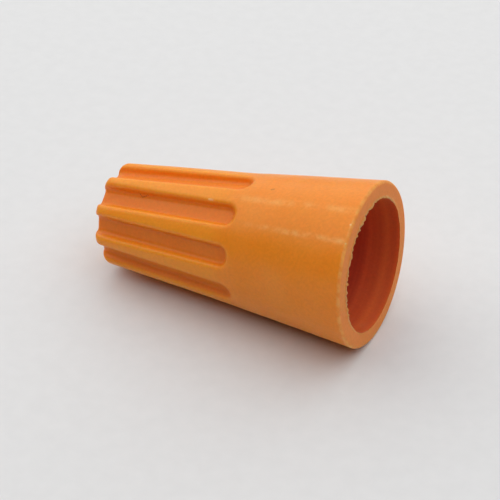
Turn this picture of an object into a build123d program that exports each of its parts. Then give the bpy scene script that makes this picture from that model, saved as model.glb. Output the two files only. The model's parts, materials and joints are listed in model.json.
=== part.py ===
"""Twist-on wire connector: a moulded thermoplastic shell around a tapered square-wire steel spring.

The shell is a blunt cone, open at its wide end (the mouth) and closed at its narrow end, with long
flutes cut into the narrow half for the fingers. Inside, a plain skirt leads through a funnel and past a
snap bead to a tapered seat. The spring is square wire wound to the same taper, with one corner of the
wire pointing inwards, which cuts a thread into the wires it is twisted on to. Its first and last turns
bear on the shell, and its middle turns have room to open.

Each piece is drawn about its own axis: the mouth is the plane z = 0, z runs to the closed end, and +x
is the side that faces up when the connector lies on a table. lay_down() then puts it on the table: +X
runs towards the mouth, +Z is up, the table is z = 0, and the origin is under the middle of its box.
The axis dips towards the closed end, because a cone lies on its side. Millimetres throughout.
"""

from build123d import *
import os
from math import atan, atan2, cos, degrees, hypot, radians, sin, sqrt, tan

# Outside of the shell
LENGTH = 20.8                # mouth plane to closed end
MOUTH_RADIUS = 6.0           # outer radius at the mouth
WAIST_RADIUS = 5.07          # outer radius where the skirt meets the fluted grip
CREST_RADIUS = 3.93          # outer radius of the ribs at the closed end
SKIRT_LENGTH = 8.4           # mouth plane to the waist
RIM_OUTER_ROUND = 0.15
RIM_INNER_ROUND = 0.10
END_CORNER = 0.55            # rounding of the ribs at the closed end

# Flutes
FLUTE_COUNT = 10
FLUTE_SETBACK = 0.65         # from the waist to the inner ends of the flutes
FLUTE_WIDTH = 1.55           # across a flute at the outer surface
FLUTE_DEPTH_AT_WAIST = 0.62
FLUTE_DEPTH_AT_END = 0.78
FLUTE_DRAFT = 14.0           # degrees that each side wall leans outwards
FLUTE_END_CORNER = 0.58      # plan radius of the corners at a flute's inner end
FLUTE_FLOOR_ROUND = 0.24     # where a side wall meets the floor
FLUTE_OVERRUN = 2.0          # of the cut past the closed end, where the flutes run out
RIB_EDGE_ROUND = 0.22        # where a side wall meets the outer surface

# Inside of the shell
BORE_RADIUS = 4.85
BORE_DEPTH = 5.2             # length of the plain skirt bore
FUNNEL_ANGLE = 40.0          # degrees between the funnel's wall and the axis
BEAD_HEIGHT = 0.10           # how far the snap bead stands in over the spring's first turn
BEAD_LENGTH = 0.35
SEAT_LENGTH = 1.5            # seat round the spring's first turns
POCKET_LENGTH = 2.0          # pocket round the spring's last turns
SEAT_CLEARANCE = 0.02        # between the spring and its seat and pocket
SPRING_RELIEF = 0.16         # extra room for the spring's middle turns to open into
END_WALL = 1.7               # thickness at the closed end

# Injection gate: a shallow dish at the centre of the closed end, with the broken gate's stub in it
DISH_RADIUS = 1.1
DISH_DEPTH = 0.22
GATE_RADIUS = 0.35
GATE_HEIGHT = 0.12           # of the stub above the dish's floor, less than the dish's depth

# Spring
WIRE_SIDE = 0.80             # side of the square wire
WIRE_CORNER = 0.06           # rounding of the wire's corners
SPRING_WIDE_RADIUS = 3.42    # over the wire's corners at the first turn
SPRING_NARROW_RADIUS = 1.90  # over the wire's corners at the last turn
SPRING_TURN_GAP = 0.12       # from one turn's corner to the next, along the axis
SPRING_END_GAP = 0.12        # from the first turn to the bead, and from the last to the end wall

# Worked out from the values above
grip_taper = (WAIST_RADIUS - CREST_RADIUS) / (LENGTH - SKIRT_LENGTH)
flute_start = SKIRT_LENGTH + FLUTE_SETBACK
flute_length = LENGTH - flute_start
wire_reach = WIRE_SIDE / sqrt(2) - WIRE_CORNER * (sqrt(2) - 1)    # wire's centre to its rounded corner
bead_radius = SPRING_WIDE_RADIUS - BEAD_HEIGHT
bead_start = BORE_DEPTH + (BORE_RADIUS - bead_radius) / tan(radians(FUNNEL_ANGLE))
seat_start = bead_start + BEAD_LENGTH
seat_end = seat_start + SEAT_LENGTH
cavity_end = LENGTH - END_WALL
pocket_start = cavity_end - POCKET_LENGTH
spring_pitch = 2 * wire_reach + SPRING_TURN_GAP
spring_start = seat_start + SPRING_END_GAP + wire_reach           # wire's centre at the first turn
spring_rise = cavity_end - SPRING_END_GAP - wire_reach - spring_start
spring_taper = (SPRING_WIDE_RADIUS - SPRING_NARROW_RADIUS) / spring_rise


def outer_radius(z):
    """Radius of the shell over its ribs, at height z above the mouth."""
    if z < SKIRT_LENGTH:
        return MOUTH_RADIUS + (WAIST_RADIUS - MOUTH_RADIUS) * z / SKIRT_LENGTH
    return WAIST_RADIUS - grip_taper * (z - SKIRT_LENGTH)


def spring_radius(z):
    """Radius over the corners of the spring's turns, at height z above the mouth."""
    return SPRING_WIDE_RADIUS - spring_taper * (z - spring_start)


def shell_blank():
    """The shell before its flutes: one outline, outside and cavity together, turned about the axis."""
    outside = Polyline(
        (0, LENGTH - DISH_DEPTH + GATE_HEIGHT),
        (GATE_RADIUS, LENGTH - DISH_DEPTH + GATE_HEIGHT),
        (GATE_RADIUS, LENGTH - DISH_DEPTH),
        (DISH_RADIUS, LENGTH),
        (CREST_RADIUS, LENGTH),
        (WAIST_RADIUS, SKIRT_LENGTH),
        (MOUTH_RADIUS, 0),
        (BORE_RADIUS, 0),
    )
    relief_start = seat_end + SPRING_RELIEF
    relief_end = pocket_start - SPRING_RELIEF
    relief = SEAT_CLEARANCE + SPRING_RELIEF
    cavity = Polyline(
        (BORE_RADIUS, 0),
        (BORE_RADIUS, BORE_DEPTH),
        (bead_radius, bead_start),
        (bead_radius, bead_start + BEAD_LENGTH / 2),
        (spring_radius(seat_start) + SEAT_CLEARANCE, seat_start),
        (spring_radius(seat_end) + SEAT_CLEARANCE, seat_end),
        (spring_radius(relief_start) + relief, relief_start),
        (spring_radius(relief_end) + relief, relief_end),
        (spring_radius(pocket_start) + SEAT_CLEARANCE, pocket_start),
        (spring_radius(cavity_end) + SEAT_CLEARANCE, cavity_end),
        (0, cavity_end),
    )
    middle = Line((0, cavity_end), (0, LENGTH - DISH_DEPTH + GATE_HEIGHT))
    outline = make_face([*outside.edges(), *cavity.edges(), middle])
    for corner, radius in (
        ((CREST_RADIUS, LENGTH), END_CORNER),
        ((MOUTH_RADIUS, 0), RIM_OUTER_ROUND),
        ((BORE_RADIUS, 0), RIM_INNER_ROUND),
    ):
        outline = fillet(outline.vertices().sort_by_distance(corner)[0], radius)
    return revolve(Plane.XZ * outline, Axis.Z)


def flute_cutter():
    """The bar that cuts the flute on the +x side: drafted walls, and a rounded inner end."""
    inner_end = outer_radius(flute_start) - FLUTE_DEPTH_AT_WAIST
    outer_end = outer_radius(LENGTH) - FLUTE_DEPTH_AT_END
    slope = atan2(inner_end - outer_end, flute_length)
    # The floor's own x runs to the closed end, and its own z points away from the axis.
    along = (-sin(slope), 0, cos(slope))
    floor = Plane((inner_end, 0, flute_start), x_dir=along, z_dir=(cos(slope), 0, sin(slope)))
    wall_lean = FLUTE_DEPTH_AT_WAIST * tan(radians(FLUTE_DRAFT))
    floor_width = FLUTE_WIDTH - 2 * wall_lean
    floor_length = flute_length + FLUTE_OVERRUN
    plan = Pos(wall_lean + floor_length / 2, 0) * Rectangle(floor_length, floor_width)
    widest_corner = floor_width / 2 - 0.01
    plan = fillet(plan.vertices().group_by(Axis.X)[0], min(FLUTE_END_CORNER - wall_lean, widest_corner))
    bar = extrude(floor * plan, 2 * max(FLUTE_DEPTH_AT_WAIST, FLUTE_DEPTH_AT_END), taper=-FLUTE_DRAFT)
    bottom = bar.faces().sort_by_distance(floor.origin + floor.x_dir * (floor_length / 2))[0]
    all_but_far_edge = bottom.edges().sort_by(Axis.Z)[:-1]
    return fillet(all_but_far_edge, FLUTE_FLOOR_ROUND)


def is_rib_edge(edge):
    """True for the long edges where the flutes' side walls meet the outer surface."""
    middle = edge @ 0.5
    on_surface = hypot(middle.X, middle.Y) > outer_radius(middle.Z) - FLUTE_DEPTH_AT_WAIST / 2
    return on_surface and edge.length > flute_length / 2 and flute_start < middle.Z < LENGTH - END_CORNER


def make_shell():
    """The blank with its flutes cut and the edges of its ribs rounded."""
    body = shell_blank()
    cutter = flute_cutter()
    for turn in range(FLUTE_COUNT):
        body -= Rot(0, 0, turn * 360 / FLUTE_COUNT) * cutter
    return fillet(body.edges().filter_by(is_rib_edge), RIB_EDGE_ROUND)


def make_spring():
    """Square wire swept along a tapering helix, one corner of the square towards the axis."""
    centre_line = Helix(
        pitch=spring_pitch,
        height=spring_rise,
        radius=SPRING_WIDE_RADIUS - wire_reach,
        center=(0, 0, spring_start),
        cone_angle=-degrees(atan(spring_taper)),
    )
    square = Rot(0, 0, 45) * RectangleRounded(WIRE_SIDE, WIRE_SIDE, WIRE_CORNER)
    start = Plane(centre_line @ 0, x_dir=(1, 0, 0), z_dir=centre_line % 0)
    return sweep(start * square, path=centre_line, is_frenet=True)


def resting_tilt(shell):
    """Degrees the axis dips: the shell rests on its rim and on the two ribs beside its lowest flute."""
    mouth_end = RIM_OUTER_ROUND
    grip_end = LENGTH - END_CORNER
    depth_at_mouth = -section(shell, Plane.XY.offset(mouth_end)).bounding_box().min.X
    depth_at_grip = -section(shell, Plane.XY.offset(grip_end)).bounding_box().min.X
    return degrees(atan2(depth_at_mouth - depth_at_grip, grip_end - mouth_end))


def lay_down(shell):
    """The move that lays the connector on the table, with the origin under the middle of its box."""
    turn = Rot(0, -(90 + resting_tilt(shell)), 0)
    box = (turn * shell).bounding_box()
    return Pos(-box.center().X, -box.center().Y, -box.min.Z) * turn


if __name__ == "__main__":
    upright_shell = make_shell()
    to_table = lay_down(upright_shell)
    os.makedirs("parts", exist_ok=True)
    export_step(to_table * upright_shell, "parts/shell.step")
    export_step(to_table * make_spring(), "parts/spring.step")
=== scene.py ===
import json
from math import cos, pi, radians, sin, sqrt, tan
from typing import NamedTuple

import bpy
import numpy as np
from bpy.props import FloatProperty, FloatVectorProperty, IntProperty, PointerProperty
from mathutils import Matrix, Vector
from mathutils.bvhtree import BVHTree


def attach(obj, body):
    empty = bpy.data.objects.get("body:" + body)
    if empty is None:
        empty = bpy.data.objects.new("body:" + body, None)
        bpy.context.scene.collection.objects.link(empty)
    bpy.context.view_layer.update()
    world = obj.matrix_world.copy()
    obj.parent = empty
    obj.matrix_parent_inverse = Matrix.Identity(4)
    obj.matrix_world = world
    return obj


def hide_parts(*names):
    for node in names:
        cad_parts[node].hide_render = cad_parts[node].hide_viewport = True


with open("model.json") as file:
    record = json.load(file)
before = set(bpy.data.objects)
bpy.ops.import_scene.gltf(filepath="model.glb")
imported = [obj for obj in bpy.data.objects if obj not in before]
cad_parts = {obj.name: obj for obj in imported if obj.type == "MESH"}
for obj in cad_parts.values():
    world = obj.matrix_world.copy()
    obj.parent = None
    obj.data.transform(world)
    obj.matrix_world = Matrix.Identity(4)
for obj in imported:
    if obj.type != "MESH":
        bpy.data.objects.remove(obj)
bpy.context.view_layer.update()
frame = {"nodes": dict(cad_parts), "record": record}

# A twist-on wire connector lying on a table: a moulded polypropylene shell with finger flutes, and the
# square-wire steel spring inside it. The shell is made here as one closed mesh of rings, with its soft
# edges and the ragged flash round its mouth. The spring is the CAD one, with a metal finish.
#
# The shell is drawn about its own axis, in metres: height runs from the mouth plane to the closed end,
# and angle is counted from the side that faces up.

bl_info = {
    "name": "Twist-on wire connector",
    "version": (1, 0, 0),
    "blender": (4, 5, 0),
    "location": "3D View > Sidebar > Connector",
    "description": "A fluted twist-on wire connector with its spring, on a pale studio floor",
    "category": "Add Mesh",
}

MM = 0.001
SEED = 11


def hex_to_linear(code):
    """Scene-linear red, green and blue of an sRGB colour written as '#rrggbb'."""
    channels = [int(code[i:i + 2], 16) / 255 for i in (1, 3, 5)]
    return tuple(c / 12.92 if c <= 0.04045 else ((c + 0.055) / 1.055) ** 2.4 for c in channels)


# ------------------------------------------------------------ the CAD shell, measured about its axis

CLEAR_OF_SEAMS = 0.3        # radians; rays at this angle miss the CAD shell's seam edges
RAY_START = 40 * MM         # far enough from the axis or the mouth to be outside the shell


class AxisFrame:
    """The connector's own axis in the row frame, with rays that measure the CAD shell about it."""

    def __init__(self, shell, mount):
        self.inwards = -Vector(mount["axis"]).normalized()
        self.up = (Vector((0, 0, 1)) - self.inwards * self.inwards.z).normalized()
        self.side = self.inwards.cross(self.up)
        corners = [v.co for v in shell.data.vertices]
        self.tree = BVHTree.FromPolygons(corners, [p.vertices for p in shell.data.polygons])
        centre = Vector(mount["pos_m"])
        heights = [(c - centre).dot(self.inwards) for c in corners]
        self.mouth = centre + self.inwards * min(heights)
        self.length = max(heights) - min(heights)

    def to_row(self, up, side, height):
        """Points about the axis as points in the row frame."""
        axes = np.array([self.up, self.side, self.inwards])
        return np.array(self.mouth) + np.stack([up, side, height], axis=-1) @ axes

    def spoke(self, angle):
        """Unit vector straight out from the axis at that angle."""
        return self.up * cos(angle) + self.side * sin(angle)

    def ray(self, start, direction):
        """Distance from start to the shell along direction."""
        return self.tree.ray_cast(start, direction)[3]

    def outside(self, angle, height):
        """Outer radius of the shell at that angle and height."""
        start = self.mouth + self.inwards * height + self.spoke(angle) * RAY_START
        return RAY_START - self.ray(start, -self.spoke(angle))

    def inside(self, height):
        """Radius of the cavity at that height."""
        return self.ray(self.mouth + self.inwards * height, self.spoke(CLEAR_OF_SEAMS))

    def end_face(self, radius):
        """Height of the closed end's face at that radius."""
        start = self.mouth + self.inwards * RAY_START + self.spoke(CLEAR_OF_SEAMS) * radius
        return RAY_START - self.ray(start, -self.inwards)

    def cavity_end(self):
        """Height of the end wall's inner face."""
        return self.ray(self.mouth, self.inwards)


class Taper:
    """A straight-sided cone: its radius at any height, from its radius at two heights."""

    def __init__(self, radius_at, low, high):
        self.slope = (radius_at(high) - radius_at(low)) / (high - low)
        self.at_mouth = radius_at(low) - self.slope * low

    def __call__(self, height):
        return self.at_mouth + self.slope * height


class ShellGauge:
    """The sizes of the CAD shell that this one is made to."""

    def __init__(self, axis, flute_count, wall_draft):
        rib = pi / flute_count
        low, high = 0.6 * axis.length, 0.85 * axis.length
        self.skirt = Taper(lambda h: axis.outside(rib, h), 0.1 * axis.length, 0.3 * axis.length)
        self.grip = Taper(lambda h: axis.outside(rib, h), low, high)
        self.floor = Taper(lambda h: axis.outside(0, h), low, high)
        step = 0.01 * MM
        heights = np.arange(0.3 * axis.length, low, step)
        start = next(h for h in heights if self.crest(h) - axis.outside(0, h) > self.half_depth(h))
        self.flute_start = start - self.half_depth(start) * tan(wall_draft)
        angles = np.arange(0, rib, step / self.grip(high))
        edge = next(a for a in angles if self.crest(high) - axis.outside(a, high) < self.half_depth(high))
        self.flute_width = 2 * (self.grip(high) * sin(edge) + self.half_depth(high) * tan(wall_draft))

    def crest(self, height):
        """Radius over the ribs, on the skirt as on the grip."""
        return max(self.skirt(height), self.grip(height))

    def half_depth(self, height):
        return (self.crest(height) - self.floor(height)) / 2


FLUTE_COUNT = 10
WALL_DRAFT = radians(14)
wire_entry = next(m for m in frame["record"]["mounts"] if m["name"] == "wire_entry")
axis = AxisFrame(frame["nodes"]["shell"], wire_entry)
gauge = ShellGauge(axis, FLUTE_COUNT, WALL_DRAFT)


# ------------------------------------------------------------ sizes and colours that a user would change

def length_setting(label, what, default):
    return FloatProperty(
        name=label, description=what, default=default, min=0, precision=5, unit="LENGTH")


def colour_setting(label, what, code):
    return FloatVectorProperty(
        name=label, description=what, default=hex_to_linear(code), size=3, min=0, max=1, subtype="COLOR")


class ConnectorSizes(bpy.types.PropertyGroup):
    flute_count: IntProperty(
        name="Flutes", description="Finger flutes round the grip", default=FLUTE_COUNT, min=4)
    wall_draft: FloatProperty(
        name="Wall draft", description="Lean of a flute's side walls", default=WALL_DRAFT, subtype="ANGLE")
    flute_width: length_setting("Flute width", "Across a flute at the ribs", gauge.flute_width - 0.12 * MM)
    flute_start: length_setting("Flute start", "From the mouth to the flutes", gauge.flute_start)
    end_plan: length_setting("Flute end corner", "Plan radius of a flute's inner end", 0.72 * MM)
    floor_round: length_setting("Floor round", "Where a flute's wall meets its floor", 0.42 * MM)
    edge_round: length_setting("Rib edge round", "Where a flute's wall meets the rib", 0.46 * MM)
    rib_corner: length_setting("Rib end corner", "Rounding of the ribs at the closed end", 0.66 * MM)
    floor_corner: length_setting("Floor end corner", "Rounding of a flute's outer end", 0.30 * MM)
    rim_round: length_setting("Rim round", "Outer edge of the mouth", 0.25 * MM)
    flash_height: length_setting("Flash height", "Tallest flash on the mouth's inner edge", 0.15 * MM)
    flash_reach: length_setting("Flash reach", "Furthest the flash leans into the bore", 0.16 * MM)
    unevenness: length_setting("Unevenness", "Gentle waves that cooling leaves in the moulding", 0.012 * MM)


class ConnectorColours(bpy.types.PropertyGroup):
    shell: colour_setting("Shell", "Orange of the moulding", "#f28c15")
    # Pale shell colour: random drift in the moulding, and also the painted highlights on the mouth's outer
    # edge and along the skirt.
    shell_pale_and_highlight: colour_setting("Shell, pale", "Where the plastic flowed thin or was rubbed", "#f9ae58")
    # Painted highlight: the ribs are painted lighter and yellower than the shell, where light falls on them.
    rib: colour_setting("Rib", "Ribs, yellower where fingers have polished them", "#f7a024")
    # Painted shade: the flutes are painted a deeper orange than the shell, where they lie in shade.
    flute_shade: colour_setting("Flute", "Flutes, which keep the deeper orange", "#ec7910")
    rim: colour_setting("Rim", "The duller face of the mouth", "#ee8d40")
    # Painted shade: the cavity is painted a deeper red than the shell, deepening further in.
    cavity: colour_setting("Cavity", "Inside the mouth, where the colour turns red", "#da5540")
    hoop: colour_setting("Cavity hoops", "Faint darker hoops in the cavity", "#ae3828")
    flash: colour_setting("Flash", "Thin torn plastic at the mouth's edge", "#dd9c5c")
    nick: colour_setting("Nicks", "Fresh nicks, which show pale", "#fbd09a")
    speck: colour_setting("Specks", "Specks and a hair-thin scratch, which show dark", "#8a3a10")
    steel: colour_setting("Spring wire", "Zinc-plated steel", "#b9b6ae")
    steel_dull: colour_setting("Spring wire, dull", "Where the plating has clouded", "#9c9992")
    floor: colour_setting("Floor", "Pale matte floor", "#e0e0e0")
    floor_print: colour_setting("Floor print", "Faint print in the floor", "#dadada")


# ------------------------------------------------------------ the shell's rings

FLOOR_STEPS = 7             # columns from the middle of a flute's floor to the foot of its wall
BEND_STEPS = 6              # columns round each of a wall's two bends
RIB_STEPS = 4               # columns from a rib's edge to its middle
HALF_COLUMNS = FLOOR_STEPS + 2 * BEND_STEPS + RIB_STEPS - 1

# What the finish is told about each point: how much it lies on the mouth's face, on its outer edge, on the
# flash, on a rib, in a flute or in the cavity. Of these, the rib share carries a painted highlight, the flute
# and cavity shares painted shade, and the outer edge a pale band that is partly knocks and partly a painted
# highlight.
FINISHES = ("rim", "edge", "flash", "rib", "flute_shade", "within_shade")


class Ring:
    """One turn of points round the axis, and what the finish needs to know about each."""

    def __init__(self, radius, angle, height, **finish):
        self.angle = np.asarray(angle)
        self.radius = np.broadcast_to(radius, self.angle.shape)
        self.height = np.broadcast_to(height, self.angle.shape)
        for name in FINISHES:
            setattr(self, name, np.broadcast_to(finish.get(name, 0.0), self.angle.shape))


def between(a, b, share):
    """The value that far of the way from a to b."""
    return a + (b - a) * share


def smooth(share):
    """0 to 1 with a gentle start and end."""
    share = np.clip(share, 0, 1)
    return share * share * (3 - 2 * share)


def wall_section(s, depth):
    """A flute's wall from floor to rib: each point's distance in from the flute's edge, and its drop."""
    turn = pi / 2 - s.wall_draft
    bend = np.linspace(0, turn, BEND_STEPS)
    # Both bends shrink where the flute is too shallow to hold them.
    fit = min(1, 0.94 * depth / ((s.floor_round + s.edge_round) * (1 - cos(turn))))
    floor_round, edge_round = fit * s.floor_round, fit * s.edge_round
    foot = depth * tan(s.wall_draft) + floor_round * tan(turn / 2)
    lower_inset = foot - floor_round * np.sin(bend)
    lower_drop = depth - floor_round * (1 - np.cos(bend))
    upper_inset = edge_round * (np.sin(bend[::-1]) - tan(turn / 2))
    upper_drop = edge_round * (1 - np.cos(bend[::-1]))
    return np.concatenate([lower_inset, upper_inset]), np.concatenate([lower_drop, upper_drop])


def inset_from_edge(s, across, along):
    """How far in from the flute's edge a point is, where the edge has a rounded inner end."""
    past_side = across - (s.flute_width / 2 - s.end_plan)
    past_end = s.end_plan - along
    corner = np.hypot(np.maximum(past_side, 0), np.maximum(past_end, 0))
    return s.end_plan - corner - np.minimum(np.maximum(past_side, past_end), 0)


def grip_ring(s, height):
    """The outside at that height, flutes and all."""
    crest, floor = gauge.crest(height), gauge.floor(height)
    half_width = s.flute_width / 2
    depth = sqrt(crest ** 2 - half_width ** 2) - floor
    inset, drop = wall_section(s, depth)
    wall = half_width - inset
    on_floor = np.linspace(0, wall[0], FLOOR_STEPS, endpoint=False)
    on_rib = np.linspace(wall[-1], crest * sin(pi / s.flute_count), RIB_STEPS + 1)[1:]
    across = np.concatenate([on_floor, wall, on_rib])
    into = inset_from_edge(s, across, height - s.flute_start)
    sunk = np.interp(into, inset[::-1], drop[::-1]) / depth
    outwards = between(np.sqrt(crest ** 2 - across ** 2), floor, sunk)
    column = np.arange(1 - HALF_COLUMNS, HALF_COLUMNS + 1)
    half = np.abs(column)
    angle = np.sign(column) * np.arctan2(across, outwards)[half]
    radius = np.hypot(across, outwards)[half]
    turns = np.repeat(np.arange(s.flute_count) * 2 * pi / s.flute_count, len(column))
    # The flute share also sets the flutes' painted shade, and the rib share the ribs' painted highlight.
    flute_shade = np.tile(sunk[half], s.flute_count)
    rib = (1 - flute_shade) * smooth((height - s.flute_start) / (2 * MM))
    angles = np.tile(angle, s.flute_count) + turns
    return Ring(np.tile(radius, s.flute_count), angles, height, rib=rib, flute_shade=flute_shade)


def even_angles(s):
    """As many angles as a grip ring has columns, evenly spaced, and column for column beside them."""
    count = 2 * HALF_COLUMNS * s.flute_count
    return (np.arange(count) + 1 - HALF_COLUMNS) * 2 * pi / count


def runout(s):
    """Height where the flutes' inner ends have run out into the skirt."""
    return s.flute_start - 1.2 * s.edge_round


# Radii in the dish at the middle of the closed end, closest together at the edge of the gate's stub.
GATE_RADII = MM * np.array([0.1, 0.2, 0.3, 0.34, 0.37, 0.45, 0.6, 0.8, 1.0])
DISH_RADIUS = 1.1 * MM


def closed_end_rings(s):
    """From the middle of the closed end's face out to its corner and round it."""
    near = grip_ring(s, axis.length - s.rib_corner)
    far = grip_ring(s, axis.length)
    corner = between(s.rib_corner, s.floor_corner, far.flute_shade)
    face_edge = far.radius - corner
    rings = [Ring(r, far.angle, axis.end_face(r)) for r in GATE_RADII]
    rings += [Ring(between(DISH_RADIUS, face_edge, share), far.angle, axis.length, flute_shade=share * far.flute_shade)
              for share in np.linspace(0, 0.94, 8)]
    for bend in np.linspace(pi / 2, 0, 9):
        height = axis.length - corner * (1 - sin(bend))
        share = (height - axis.length + s.rib_corner) / s.rib_corner
        rings.append(Ring(between(near.radius, far.radius, share) - corner * (1 - cos(bend)),
                          between(near.angle, far.angle, share), height, rib=far.rib, flute_shade=far.flute_shade))
    return rings


def grip_rings(s):
    """The ribs and flutes, with closely spaced rings where the flutes end."""
    end_zone = s.flute_start + s.end_plan + 2 * s.floor_round
    straight = np.arange(axis.length - s.rib_corner - 0.15 * MM, end_zone, -0.32 * MM)
    ending = np.linspace(end_zone, runout(s), 30)
    return [grip_ring(s, h) for h in (*straight, *ending)]


def skirt_rings(s):
    """From the flutes to the mouth, where the columns spread out evenly, and round the rim's outer edge."""
    top = runout(s)
    start, even = grip_ring(s, top), even_angles(s)
    spread = 3 * MM
    rings = []
    for height in np.linspace(top, s.rim_round, 30)[1:]:
        angle = between(start.angle, even, smooth((top - height) / spread))
        rings.append(Ring(gauge.crest(height), angle, height))
    for bend in np.linspace(0, pi / 2, 6)[1:]:
        radius = gauge.crest(0) - s.rim_round * (1 - cos(bend))
        height = s.rim_round * (1 - sin(bend))
        # The edge share puts a pale band on the rim's outer round, partly knocks and partly a painted
        # highlight.
        rings.append(Ring(radius, even, height, rim=bend / (pi / 2), edge=sin(2 * bend)))
    return rings


def ragged(count, rng, low=6, high=120, waves=60):
    """An uneven line that closes on itself: many waves of random length, from 0 to 1."""
    around = np.arange(count) * 2 * pi / count
    cycles = rng.integers(low, high, waves)
    phase = rng.uniform(0, 2 * pi, waves)
    line = (np.sin(np.outer(around, cycles) + phase) / np.sqrt(cycles)).sum(axis=1)
    return smooth((line - line.min()) / (line.max() - line.min()))


FUNNEL_START = 5.2 * MM     # height of the funnel's wide end
SEAT_START = 7.6 * MM       # height just past the snap bead, where the spring's seat has begun
# The cavity's deeper red is painted shade: part of it already at the mouth, all of it from the funnel in.
CAVITY_SHADE_AT_MOUTH = 0.62         # share of the cavity's red that the bore already has at the mouth

# Most of the flash is on one side of the top, where the mould's two halves met least tightly.
FLASH_SIDE = radians(-35)

# The flash's outline from the mouth's face into the bore: distance out from the bore's wall, share of its
# lean inwards, share of its height, and how far the finish is that of the mouth's face, flash and cavity,
# whose deeper red is painted shade.
FLASH_OUTLINE = (
    (0.07 * MM, 0.0, 0.35, 1.0, 0.4, 0.0),
    (0.03 * MM, 0.3, 0.85, 1.0, 1.0, 0.0),
    (0.01 * MM, 0.7, 1.0, 0.5, 1.0, 0.0),
    (0.0, 1.0, 0.8, 0.0, 1.0, 0.0),
    (0.0, 0.7, 0.0, 0.0, 0.7, 0.6),
)


def mouth_rings(s, bore):
    """The mouth's flat face, then the ragged flash that stands on its inner edge and leans inwards."""
    even = even_angles(s)
    rng = np.random.default_rng(SEED)
    present = between(0.2, 1, smooth(0.5 + 1.2 * np.cos(even - FLASH_SIDE)))
    tall = s.flash_height * present * ragged(len(even), rng)
    lean = s.flash_reach * present * ragged(len(even), rng)
    root = bore + 0.12 * MM
    edge = gauge.crest(0) - s.rim_round
    rings = [Ring(between(edge, root, share), even, 0, rim=1) for share in np.linspace(0, 1, 7)[1:]]
    rings += [
        Ring(bore + out - leaning * lean, even, -up * tall, rim=rim, flash=flash * present, within_shade=within_shade)
        for out, leaning, up, rim, flash, within_shade in FLASH_OUTLINE]
    foot = Ring(bore - 0.2 * lean, even, 0.08 * MM, flash=0.2 * present, within_shade=CAVITY_SHADE_AT_MOUTH)
    return [*rings, foot]


def cavity_rings(s):
    """The skirt's bore, the funnel, the snap bead and the spring's seat, as the CAD shell has them."""
    even = even_angles(s)
    end = axis.cavity_end()
    deep = end - 0.02 * MM
    heights = [*np.linspace(0.18 * MM, FUNNEL_START, 11, endpoint=False)]
    heights += [*np.linspace(FUNNEL_START, SEAT_START, 19, endpoint=False)]
    heights += [*np.linspace(SEAT_START, deep, 38)]
    # The cavity's painted shade, a deeper red, grows from the mouth to the funnel.
    rings = [
        Ring(axis.inside(h), even, h, within_shade=between(CAVITY_SHADE_AT_MOUTH, 1, smooth(h / FUNNEL_START)))
        for h in heights]
    rings += [Ring(share * axis.inside(deep), even, end, within_shade=1) for share in (0.98, 0.7, 0.4, 0.15)]
    return rings


def settle(radius, angle, height, size, rng, waves=14):
    """Shrinks the radius a little, and adds the gentle waves that a moulding has once it has cooled."""
    radius = radius - size
    for _ in range(waves):
        around, along = rng.integers(1, 8), rng.uniform(-900, 900)
        phase = rng.uniform(0, 2 * pi)
        radius = radius + size / sqrt(waves) * np.sin(around * angle + along * height + phase)
    return radius


# Painted highlight lines along the skirt: angle of each line, how far it reaches from the mouth, its half
# width, and its strength.
HIGHLIGHT_LINES = (
    (radians(-42), 8.6 * MM, 0.17 * MM, 1.0),
    (radians(-19.5), 10.5 * MM, 0.26 * MM, 0.6),
)


def highlight_line_share(radius, angle, height):
    """How much each point lies on the painted highlight lines: straight lines along the skirt."""
    total = np.zeros_like(radius)
    for place, reach, half_width, strength in HIGHLIGHT_LINES:
        aside = (np.mod(angle - place + pi, 2 * pi) - pi) * radius / half_width
        ends = smooth((reach - height) / (2 * MM)) * smooth(height / (0.4 * MM))
        total += strength * np.exp(-aside ** 2) * ends
    return total


def mesh_from_rings(name, rings, size):
    """One closed mesh: a quad between each two rings' neighbours, and a fan on the first and last ring."""
    def gather(what):
        return np.array([getattr(r, what) for r in rings])
    radius, angle, height = gather("radius"), gather("angle"), gather("height")
    outside = 1 - gather("within_shade")
    settled = settle(radius, angle, height, size, np.random.default_rng(SEED + 1))
    radius = between(radius, settled, outside * smooth(radius / (2 * MM)))
    points = axis.to_row(radius * np.cos(angle), radius * np.sin(angle), height)
    rows, columns = radius.shape
    start_centre = axis.to_row(0, 0, height[0, 0])
    end_centre = axis.to_row(0, 0, height[-1, 0])
    vertices = np.concatenate([points.reshape(-1, 3), [start_centre, end_centre]])
    number = np.arange(rows * columns).reshape(rows, columns)
    beside = np.roll(number, -1, axis=1)
    quads = np.stack([number[:-1], number[1:], beside[1:], beside[:-1]], axis=-1).reshape(-1, 4)
    first, last = rows * columns, rows * columns + 1
    fans = [(first, a, b) for a, b in zip(number[0], beside[0])]
    fans += [(last, b, a) for a, b in zip(number[-1], beside[-1])]
    mesh = bpy.data.meshes.new(name)
    mesh.from_pydata(vertices.tolist(), [], quads.tolist() + [tuple(map(int, f)) for f in fans])
    finish = {what: gather(what) for what in FINISHES}
    # The painted highlight lines along the skirt, kept off the cavity.
    finish["highlight_line"] = outside * highlight_line_share(radius, angle, height)
    for what, values in finish.items():
        values = np.append(values.ravel(), [0, float(what == "within_shade")])
        mesh.attributes.new(what, "FLOAT", "POINT").data.foreach_set("value", values.astype(np.float32))
    mesh.shade_smooth()
    mesh.validate()
    return mesh


def add_piece(name, mesh):
    """An object in the scene with that mesh."""
    piece = bpy.data.objects.new(name, mesh)
    bpy.context.scene.collection.objects.link(piece)
    return piece


# ------------------------------------------------------------ finishes

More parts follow.
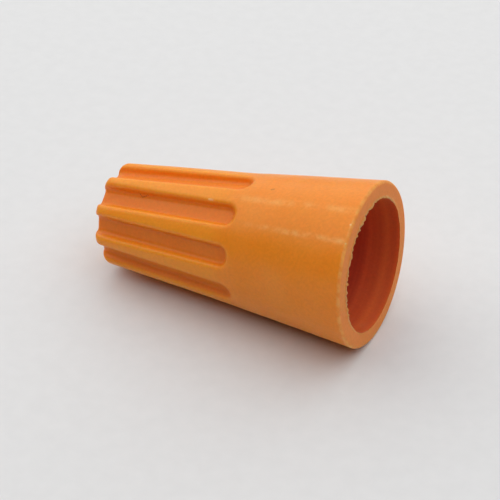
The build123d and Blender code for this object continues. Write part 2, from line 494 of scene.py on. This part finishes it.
def add_node(tree, kind, inputs=None, **settings):
    """Adds a node with its settings. inputs holds a value or a source socket for each socket it names.

    A socket is named by its number where its name isn't the only one: a Mix node's colours are its inputs 6
    and 7 and its output 2.
    """
    node = tree.nodes.new("ShaderNode" + kind)
    for name, value in settings.items():
        setattr(node, name, value)
    for key, value in (inputs or {}).items():
        if isinstance(value, bpy.types.NodeSocket):
            tree.links.new(value, node.inputs[key])
        else:
            node.inputs[key].default_value = value
    return node


def blank_material(name):
    """A material with no nodes but its coordinates, in the millimetres that pattern sizes are given in."""
    material = bpy.data.materials.new(name)
    material.use_nodes = True
    tree = material.node_tree
    tree.nodes.clear()
    place = add_node(tree, "TexCoord").outputs["Object"]
    in_mm = add_node(tree, "VectorMath", {0: place, 1: (1 / MM,) * 3}, operation="MULTIPLY").outputs[0]
    return material, tree, in_mm


class Pattern(NamedTuple):
    """Uneven values over a surface: how coarse in mm, and which part of the noise becomes which values."""
    grain: float
    detail: float
    noise: tuple
    values: tuple


def patterned(tree, in_mm, patterns):
    """The output of each pattern's nodes, by the pattern's name."""
    outputs = {}
    for name, pattern in patterns.items():
        noise = add_node(tree, "TexNoise", {
            "Vector": in_mm,
            "Scale": 1 / pattern.grain,
            "Detail": pattern.detail,
        })
        outputs[name] = add_node(tree, "MapRange", {
            "Value": noise.outputs["Fac"],
            "From Min": pattern.noise[0],
            "From Max": pattern.noise[1],
            "To Min": pattern.values[0],
            "To Max": pattern.values[1],
        }).outputs[0]
    return outputs


def layered(tree, colour, layers):
    """Lays each colour over the last, where its share and its strength say."""
    colour = (*colour, 1)
    for share, strength, over in layers:
        cover = add_node(tree, "Math", {0: share, 1: strength}, operation="MULTIPLY").outputs[0]
        colour = add_node(tree, "Mix", {0: cover, 6: colour, 7: (*over, 1)}, data_type="RGBA").outputs[2]
    return colour


def dots(tree, in_mm, marks):
    """1 at the middle of each mark, falling to 0 at its edge."""
    covered = 0.0
    for height, degrees, size in marks:
        angle = radians(degrees)
        radius = axis.outside(angle, height * MM)
        centre = tuple(axis.to_row(radius * cos(angle), radius * sin(angle), height * MM) / MM)
        away = add_node(tree, "VectorMath", {0: in_mm, 1: centre}, operation="DISTANCE").outputs["Value"]
        dot = add_node(tree, "MapRange", {
            "Value": away,
            "From Min": 0.4 * size,
            "From Max": 1.4 * size,
            "To Min": 1.0,
            "To Max": 0.0,
        }).outputs[0]
        covered = add_node(tree, "Math", {0: covered, 1: dot}, operation="MAXIMUM").outputs[0]
    return covered


# Small marks on the shell: height from the mouth in mm, angle in degrees, and the mark's radius in mm.
PALE_NICKS = (
    (11.5, -25.1, 0.09), (11.38, -25.2, 0.10), (11.24, -25.4, 0.09), (11.1, -25.7, 0.06),
    (17.35, -61.5, 0.09), (0.2, -30, 0.07), (0.1, -43, 0.06),
)
DARK_SPECKS = (
    (7.15, -7, 0.09), (7.04, -6.4, 0.08),
    (17.5, -26.2, 0.06), (17.4, -27.4, 0.06), (17.27, -28.5, 0.07),
    (17.12, -27.8, 0.06), (16.98, -26.9, 0.06), (16.83, -26.2, 0.05),
)

HOOPS_PER_MM = 1.1          # faint rings in the cavity's colour, along the axis

# The real mould grain is near 0.03 mm, too fine to show, so it is drawn four times as coarse.
POLYPROPYLENE_PATTERNS = {
    "drift": Pattern(3.0, 3, (0.35, 0.75), (0.0, 0.16)),
    "ripple": Pattern(0.9, 2, (0, 1), (0, 1)),
    "highlight_breakup": Pattern(0.8, 3, (0.38, 0.60), (0.15, 1)),
    "knock_and_glint": Pattern(0.45, 3, (0.40, 0.60), (0.2, 0.9)),
    "mottle": Pattern(0.2, 3, (0.3, 0.7), (0.95, 1.05)),
    "grain": Pattern(0.12, 2, (0.3, 0.7), (0, 1)),
}


def moulded_polypropylene(colours):
    """Injection-moulded polypropylene: waxy, slightly see-through, with a soft gloss off a worn mould.

    Light sinks in a little and comes back warmer, so shaded flutes glow instead of going grey. The ribs carry
    a painted highlight, lighter and yellower than the flutes, and the flutes painted shade in a deeper
    orange. The cavity has painted shade that deepens to red further in, with faint darker hoops. The mouth's
    face and its torn flash are paler; its outer edge has a pale band, partly knocks and partly a painted
    highlight, and the skirt has painted highlight lines along it.
    """
    material, tree, in_mm = blank_material("polypropylene_moulded")
    varied = patterned(tree, in_mm, POLYPROPYLENE_PATTERNS)
    here = {
        name: add_node(tree, "Attribute", attribute_name=name).outputs["Fac"]
        for name in (*FINISHES, "highlight_line")}

    depth = add_node(
        tree, "VectorMath", {0: in_mm, 1: tuple(axis.inwards)}, operation="DOT_PRODUCT").outputs["Value"]
    hoop = add_node(tree, "TexNoise", {"W": depth, "Scale": HOOPS_PER_MM, "Detail": 2}, noise_dimensions="1D")
    hoops = add_node(tree, "MapRange", {
        "Value": hoop.outputs["Fac"],
        "From Min": 0.35,
        "From Max": 0.65,
        "To Min": 0.5,
        "To Max": 0.0,
    }).outputs[0]

    even = layered(tree, colours.shell, (
        (varied["drift"], 1, colours.shell_pale_and_highlight),
        # Painted highlight: ribs lighter and yellower.
        (here["rib"], 0.5, colours.rib),
        # Painted shade: flutes a deeper orange.
        (here["flute_shade"], 0.6, colours.flute_shade),
        # Painted shade: the cavity a deeper red, with faint darker hoops over it.
        (here["within_shade"], 1, colours.cavity),
        (here["within_shade"], hoops, colours.hoop),
        (here["rim"], 1, colours.rim),
        (here["flash"], 1, colours.flash),
        # The outer edge's pale band: partly knocks, partly a painted highlight.
        (here["edge"], varied["knock_and_glint"], colours.shell_pale_and_highlight),
        # Painted highlight lines along the skirt.
        (here["highlight_line"], varied["highlight_breakup"], colours.shell_pale_and_highlight),
        (dots(tree, in_mm, PALE_NICKS), 1, colours.nick),
        (dots(tree, in_mm, DARK_SPECKS), 0.55, colours.speck),
    ))
    colour = add_node(tree, "HueSaturation", {"Value": varied["mottle"], "Color": even}).outputs[0]

    # Rougher on the torn face of the mouth, and smoother along the skirt's painted highlight lines.
    highlighted = add_node(tree, "Math", {0: here["highlight_line"], 1: varied["highlight_breakup"]}, operation="MULTIPLY").outputs[0]
    roughness = 0.32
    for value, change in ((varied["grain"], 0.10), (here["rim"], 0.3), (highlighted, -0.12)):
        added = {0: value, 1: change, 2: roughness}
        roughness = add_node(tree, "Math", added, operation="MULTIPLY_ADD").outputs[0]

    # The ripple is what shrinkage left, under the mould's grain.
    rippled = add_node(tree, "Bump", {"Height": varied["ripple"], "Strength": 0.35, "Distance": 0.08 * MM})
    grained = add_node(tree, "Bump", {
        "Height": varied["grain"], "Strength": 0.5, "Distance": 0.005 * MM, "Normal": rippled.outputs[0]})

    shader = add_node(tree, "BsdfPrincipled", {
        "Base Color": colour,
        "Roughness": roughness,
        "Normal": grained.outputs[0],
        "IOR": 1.49,
        "Specular IOR Level": 0.32,
        "Subsurface Weight": 0.5,
        "Subsurface Radius": (1.0, 0.35, 0.1),
        "Subsurface Scale": 1.0 * MM,
    })
    add_node(tree, "OutputMaterial", {"Surface": shader.outputs[0]})
    return material


# Drawing leaves streaks near 0.02 mm, too fine to show, so they are drawn three times as coarse.
WIRE_PATTERNS = {
    "cloud": Pattern(0.5, 4, (0.3, 0.7), (0, 1)),
    "gloss": Pattern(0.5, 4, (0.3, 0.7), (0.26, 0.42)),
    "streak": Pattern(0.06, 2, (0, 1), (0, 1)),
}


def zinc_plated_wire(colours):
    """Drawn square steel wire with a thin zinc plating: grey, half bright, clouded and finely streaked."""
    material, tree, in_mm = blank_material("spring_steel_zinc_plated")
    varied = patterned(tree, in_mm, WIRE_PATTERNS)
    colour = layered(tree, colours.steel_dull, ((varied["cloud"], 1, colours.steel),))
    bumped = add_node(tree, "Bump", {"Height": varied["streak"], "Strength": 0.3, "Distance": 0.005 * MM})
    shader = add_node(tree, "BsdfPrincipled", {
        "Base Color": colour, "Roughness": varied["gloss"], "Normal": bumped.outputs[0], "Metallic": 1.0})
    add_node(tree, "OutputMaterial", {"Surface": shader.outputs[0]})
    return material


LAMINATE_PATTERNS = {
    "print": Pattern(1.2, 4, (0.3, 0.7), (0, 0.5)),
    "gloss": Pattern(0.4, 2, (0.3, 0.7), (0.62, 0.74)),
    "tooth": Pattern(0.25, 2, (0, 1), (0, 1)),
}


def matte_laminate(colours):
    """Matte laminate for the floor: pale and even, with a faint print and a fine pressed tooth."""
    material, tree, in_mm = blank_material("floor_matte_laminate")
    varied = patterned(tree, in_mm, LAMINATE_PATTERNS)
    colour = layered(tree, colours.floor, ((varied["print"], 1, colours.floor_print),))
    pressed = add_node(tree, "Bump", {"Height": varied["tooth"], "Strength": 0.15, "Distance": 0.01 * MM})
    shader = add_node(tree, "BsdfPrincipled", {
        "Base Color": colour, "Roughness": varied["gloss"], "Normal": pressed.outputs[0]})
    add_node(tree, "OutputMaterial", {"Surface": shader.outputs[0]})
    return material


# ------------------------------------------------------------ the studio

# The softbox is overhead and mostly behind, so its near edge shows as a change of shade along the skirt.
SOFTBOX_CORNER = (-0.9, -0.27, 0.30)
SOFTBOX_ACROSS = 1.3
SOFTBOX_ALONG = 1.5
SOFTBOX_RADIANCE = 1.26
SURROUND_STRENGTH = 0.08
BACKDROP_STRENGTH = 0.95
FLOOR_HALF = 1.5

VIEW_AZIMUTH = radians(26.66)
VIEW_ELEVATION = radians(36.48)
VIEW_ROLL = radians(0.32)
VIEW_DISTANCE = 101.16 * MM
VIEW_AIM = Vector((-0.21, 0, 5)) * MM           # a point in the connector
VIEW_OFFSET = (0.695 * MM, -0.99 * MM)          # from there, across and up the picture
LENS = 100.3


def add_floor(colours):
    """One pale square that the connector lies on."""
    mesh = bpy.data.meshes.new("floor")
    corners = [(FLOOR_HALF * x, FLOOR_HALF * y, 0) for x, y in ((-1, -1), (1, -1), (1, 1), (-1, 1))]
    mesh.from_pydata(corners, [], [(0, 1, 2, 3)])
    mesh.materials.append(matte_laminate(colours))
    add_piece("floor", mesh)


def add_softbox(name, corner, across, along, radiance):
    """A rectangular softbox that faces down, with its corner's place, its two sides and its brightness."""
    data = bpy.data.lights.new(name, "AREA")
    data.shape = "RECTANGLE"
    data.size, data.size_y = across, along
    data.energy = radiance * pi * across * along
    light = bpy.data.objects.new(name, data)
    light.location = (corner[0] + across / 2, corner[1] + along / 2, corner[2])
    bpy.context.scene.collection.objects.link(light)


def light_world(scene):
    """A dim even surround; the camera sees it as a white backdrop."""
    world = bpy.data.worlds.new("surround")
    world.use_nodes = True
    tree = world.node_tree
    tree.nodes.clear()
    seen = add_node(tree, "LightPath").outputs["Is Camera Ray"]
    dim = add_node(tree, "Background", {"Color": (1, 1, 1, 1), "Strength": SURROUND_STRENGTH}).outputs[0]
    white = add_node(tree, "Background", {"Color": (1, 1, 1, 1), "Strength": BACKDROP_STRENGTH}).outputs[0]
    mixed = add_node(tree, "MixShader", {0: seen, 1: dim, 2: white}).outputs[0]
    add_node(tree, "OutputWorld", {"Surface": mixed})
    scene.world = world
    scene.view_settings.view_transform = "Standard"


def add_camera(scene):
    """A long lens, a hand's breadth away, looking down into the mouth from the front."""
    level = Vector((sin(VIEW_AZIMUTH), -cos(VIEW_AZIMUTH), 0))
    back = level * cos(VIEW_ELEVATION) + Vector((0, 0, sin(VIEW_ELEVATION)))
    right = Vector((cos(VIEW_AZIMUTH), sin(VIEW_AZIMUTH), 0))
    up = back.cross(right)
    aim = VIEW_AIM + right * VIEW_OFFSET[0] + up * VIEW_OFFSET[1]
    data = bpy.data.cameras.new("camera")
    data.lens = LENS
    data.sensor_width = 36
    data.clip_start = 0.001
    data.clip_end = 10
    camera = bpy.data.objects.new("camera", data)
    turned = Matrix((right, up, back)).transposed() @ Matrix.Rotation(VIEW_ROLL, 3, "Z")
    camera.matrix_world = Matrix.Translation(aim + back * VIEW_DISTANCE) @ turned.to_4x4()
    scene.collection.objects.link(camera)
    scene.camera = camera


# ------------------------------------------------------------ the operators and the panel

class CONNECTOR_OT_build_shell(bpy.types.Operator):
    """Builds the moulded shell, with its flutes, rim, flash and cavity"""
    bl_idname = "connector.build_shell"
    bl_label = "Build shell"

    def execute(self, context):
        s = context.scene.connector_sizes
        bore = axis.inside(FUNNEL_START / 2)
        rings = [*closed_end_rings(s), *grip_rings(s), *skirt_rings(s)]
        rings += [*mouth_rings(s, bore), *cavity_rings(s)]
        shell = add_piece("moulded_shell", mesh_from_rings("moulded_shell", rings, s.unevenness))
        shell.data.materials.append(moulded_polypropylene(context.scene.connector_colours))
        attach(shell, "root")
        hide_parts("shell")
        return {"FINISHED"}


class CONNECTOR_OT_finish_spring(bpy.types.Operator):
    """Gives the spring its zinc-plated wire finish"""
    bl_idname = "connector.finish_spring"
    bl_label = "Finish spring"

    def execute(self, context):
        spring = frame["nodes"]["spring"]
        spring.data.materials.clear()
        spring.data.materials.append(zinc_plated_wire(context.scene.connector_colours))
        return {"FINISHED"}


class CONNECTOR_OT_build_studio(bpy.types.Operator):
    """Adds the pale floor, the soft overhead light and the camera"""
    bl_idname = "connector.build_studio"
    bl_label = "Build studio"

    def execute(self, context):
        add_floor(context.scene.connector_colours)
        add_softbox("overhead", SOFTBOX_CORNER, SOFTBOX_ACROSS, SOFTBOX_ALONG, SOFTBOX_RADIANCE)
        light_world(context.scene)
        add_camera(context.scene)
        return {"FINISHED"}


class CONNECTOR_PT_panel(bpy.types.Panel):
    """Shows the connector's sizes, colours and build steps"""
    bl_idname = "CONNECTOR_PT_panel"
    bl_label = "Twist-on wire connector"
    bl_space_type = "VIEW_3D"
    bl_region_type = "UI"
    bl_category = "Connector"

    def draw(self, context):
        for group in (context.scene.connector_sizes, context.scene.connector_colours):
            for name in group.__annotations__:
                self.layout.prop(group, name)
        for operator in STEPS:
            self.layout.operator(operator.bl_idname)


STEPS = (CONNECTOR_OT_build_shell, CONNECTOR_OT_finish_spring, CONNECTOR_OT_build_studio)
CLASSES = (ConnectorSizes, ConnectorColours, *STEPS, CONNECTOR_PT_panel)


def register():
    for cls in CLASSES:
        bpy.utils.register_class(cls)
    bpy.types.Scene.connector_sizes = PointerProperty(type=ConnectorSizes)
    bpy.types.Scene.connector_colours = PointerProperty(type=ConnectorColours)


def unregister():
    del bpy.types.Scene.connector_colours
    del bpy.types.Scene.connector_sizes
    for cls in reversed(CLASSES):
        bpy.utils.unregister_class(cls)


def main():
    register()
    bpy.ops.connector.build_shell()
    bpy.ops.connector.finish_spring()
    bpy.ops.connector.build_studio()


if __name__ == "__main__":
    main()
